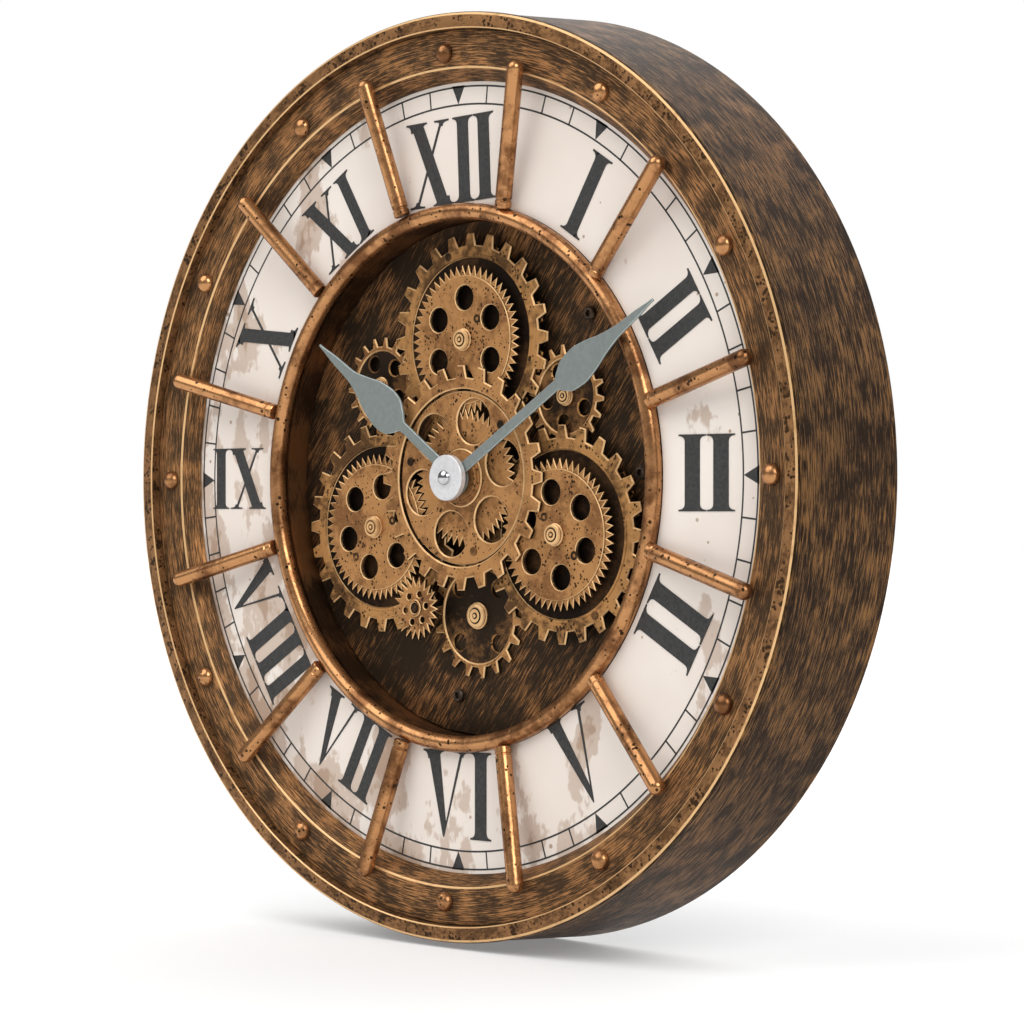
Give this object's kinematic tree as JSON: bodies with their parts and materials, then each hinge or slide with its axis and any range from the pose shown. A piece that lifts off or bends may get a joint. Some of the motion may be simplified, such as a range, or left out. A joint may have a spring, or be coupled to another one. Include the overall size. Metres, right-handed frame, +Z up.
{
  "type": "wall clock",
  "caption": "Round wall clock with a deep drum case, riveted flange, rod spokes over the dial, an open well of turning gears, two pointed hands, and a rear hatch, switch and keyhole hanger.",
  "frame": {"origin": "middle of the back, on the wall plane, on the axis of the hands", "axes": "+Z up to 12 o'clock, +X to 3 o'clock seen from the front, the dial faces -Y and the wall is at +Y"},
  "size_m": [0.3038, 0.0475, 0.3038],
  "materials": {
    "dark_patina": "aged dark bronze patina with copper streaks",
    "rim_bronze": "worn bronze, bright at the edges",
    "copper_bronze": "polished copper bronze with dark pits",
    "gear_bronze": "golden bronze with bright bevels and dark speckles",
    "dark_bronze": "dark brushed brown",
    "dial_cream": "aged cream with brown stains and dark printed marks",
    "back_board": "dark moulded board",
    "hand_grey": "flat slate grey paint",
    "bright_steel": "polished",
    "dark_steel": "blackened",
    "black_plastic": "moulded",
    "grey_plastic": "moulded",
    "battery_sleeve": "printed sleeve"
  },
  "bodies": {
    "case": {"case_drum": "dark_patina", "front_rim": "rim_bronze", "flange_ring": "dark_patina", "dial_plate": "dial_cream", "inner_ring": "copper_bronze", "gear_well": "dark_bronze", "gear_plate": "dark_bronze", "rear_panel": "back_board", "hanger_plate": "dark_steel", "movement_housing": "black_plastic", "fixing_nut": "bright_steel", "battery": "battery_sleeve", "gear_motor": "black_plastic", "plate_screw_1": "dark_steel", "plate_screw_2": "dark_steel", "plate_screw_3": "dark_steel", "plate_screw_4": "dark_steel", "spoke_01": "copper_bronze", "spoke_02": "copper_bronze", "spoke_03": "copper_bronze", "spoke_04": "copper_bronze", "spoke_05": "copper_bronze", "spoke_06": "copper_bronze", "spoke_07": "copper_bronze", "spoke_08": "copper_bronze", "spoke_09": "copper_bronze", "spoke_10": "copper_bronze", "spoke_11": "copper_bronze", "spoke_12": "copper_bronze", "rivet_01": "copper_bronze", "rivet_02": "copper_bronze", "rivet_03": "copper_bronze", "rivet_04": "copper_bronze", "rivet_05": "copper_bronze", "rivet_06": "copper_bronze", "rivet_07": "copper_bronze", "rivet_08": "copper_bronze", "rivet_09": "copper_bronze", "rivet_10": "copper_bronze", "rivet_11": "copper_bronze", "rivet_12": "copper_bronze"},
    "centre_gear": {"centre_ring_gear": "gear_bronze", "centre_fine_wheel": "gear_bronze"},
    "top_gear": {"top_ring_gear": "gear_bronze", "top_fine_wheel": "gear_bronze"},
    "right_gear": {"right_ring_gear": "gear_bronze", "right_fine_wheel": "gear_bronze"},
    "left_gear": {"left_ring_gear": "gear_bronze", "left_fine_wheel": "gear_bronze"},
    "upper_left": {"upper_left_gear": "gear_bronze"},
    "upper_right": {"upper_right_gear": "gear_bronze"},
    "lower": {"lower_gear": "gear_bronze"},
    "pinion": {"small_pinion": "gear_bronze"},
    "hour": {"hour_hand": "hand_grey"},
    "minute": {"minute_hand": "hand_grey", "minute_arbor": "bright_steel", "hand_nut": "bright_steel"},
    "knob": {"setting_knob": "grey_plastic"},
    "hatch": {"rear_hatch": "black_plastic"},
    "switch": {"power_switch": "grey_plastic"}
  },
  "joints": [
    {"name": "centre_gear_turn", "type": "hinge", "parent": "case", "child": "centre_gear", "pos_m": [0, -0.03, 0], "axis": [0, 1, 0], "continuous": true},
    {"name": "top_gear_turn", "type": "hinge", "parent": "case", "child": "top_gear", "pos_m": [0, -0.03, 0.045], "axis": [0, 1, 0], "continuous": true},
    {"name": "right_gear_turn", "type": "hinge", "parent": "case", "child": "right_gear", "pos_m": [0.04111, -0.03, -0.0183], "axis": [0, 1, 0], "continuous": true},
    {"name": "left_gear_turn", "type": "hinge", "parent": "case", "child": "left_gear", "pos_m": [-0.04201, -0.03, -0.01613], "axis": [0, 1, 0], "continuous": true},
    {"name": "upper_left_gear_turn", "type": "hinge", "parent": "case", "child": "upper_left", "pos_m": [-0.04351, -0.03, 0.03103], "axis": [0, 1, 0], "continuous": true},
    {"name": "upper_right_gear_turn", "type": "hinge", "parent": "case", "child": "upper_right", "pos_m": [0.04149, -0.03, 0.02583], "axis": [0, 1, 0], "continuous": true},
    {"name": "lower_gear_turn", "type": "hinge", "parent": "case", "child": "lower", "pos_m": [0.00062, -0.03, -0.045], "axis": [0, 1, 0], "continuous": true},
    {"name": "small_pinion_turn", "type": "hinge", "parent": "case", "child": "pinion", "pos_m": [-0.02287, -0.03, -0.04287], "axis": [0, 1, 0], "continuous": true},
    {"name": "minute_hand_turn", "type": "hinge", "parent": "case", "child": "minute", "pos_m": [0, -0.03, 0], "axis": [0, 1, 0], "continuous": true},
    {"name": "hour_hand_turn", "type": "hinge", "parent": "case", "child": "hour", "pos_m": [0, -0.03, 0], "axis": [0, 1, 0], "continuous": true},
    {"name": "setting_knob_turn", "type": "hinge", "parent": "case", "child": "knob", "pos_m": [0, -0.01, -0.0072], "axis": [0, 1, 0], "continuous": true},
    {"name": "rear_hatch_swing", "type": "hinge", "parent": "case", "child": "hatch", "pos_m": [0, -0.0015, -0.0312], "axis": [-1, 0, 0], "range_deg": [0, 90]},
    {"name": "power_switch_slide", "type": "slide", "parent": "case", "child": "switch", "axis": [1, 0, 0], "range_m": [0, 0.005]}
  ],
  "couplings": [
    {"joint": "top_gear_turn", "follows": "centre_gear_turn", "ratio": -0.92593},
    {"joint": "right_gear_turn", "follows": "centre_gear_turn", "ratio": -0.92593},
    {"joint": "left_gear_turn", "follows": "centre_gear_turn", "ratio": -0.92593},
    {"joint": "upper_left_gear_turn", "follows": "centre_gear_turn", "ratio": 1.8519},
    {"joint": "upper_right_gear_turn", "follows": "centre_gear_turn", "ratio": 1.8519},
    {"joint": "lower_gear_turn", "follows": "centre_gear_turn", "ratio": 1.4403},
    {"joint": "small_pinion_turn", "follows": "centre_gear_turn", "ratio": 2.2727},
    {"joint": "hour_hand_turn", "follows": "minute_hand_turn", "ratio": 0.083333},
    {"joint": "setting_knob_turn", "follows": "minute_hand_turn", "ratio": -0.33333}
  ]
}
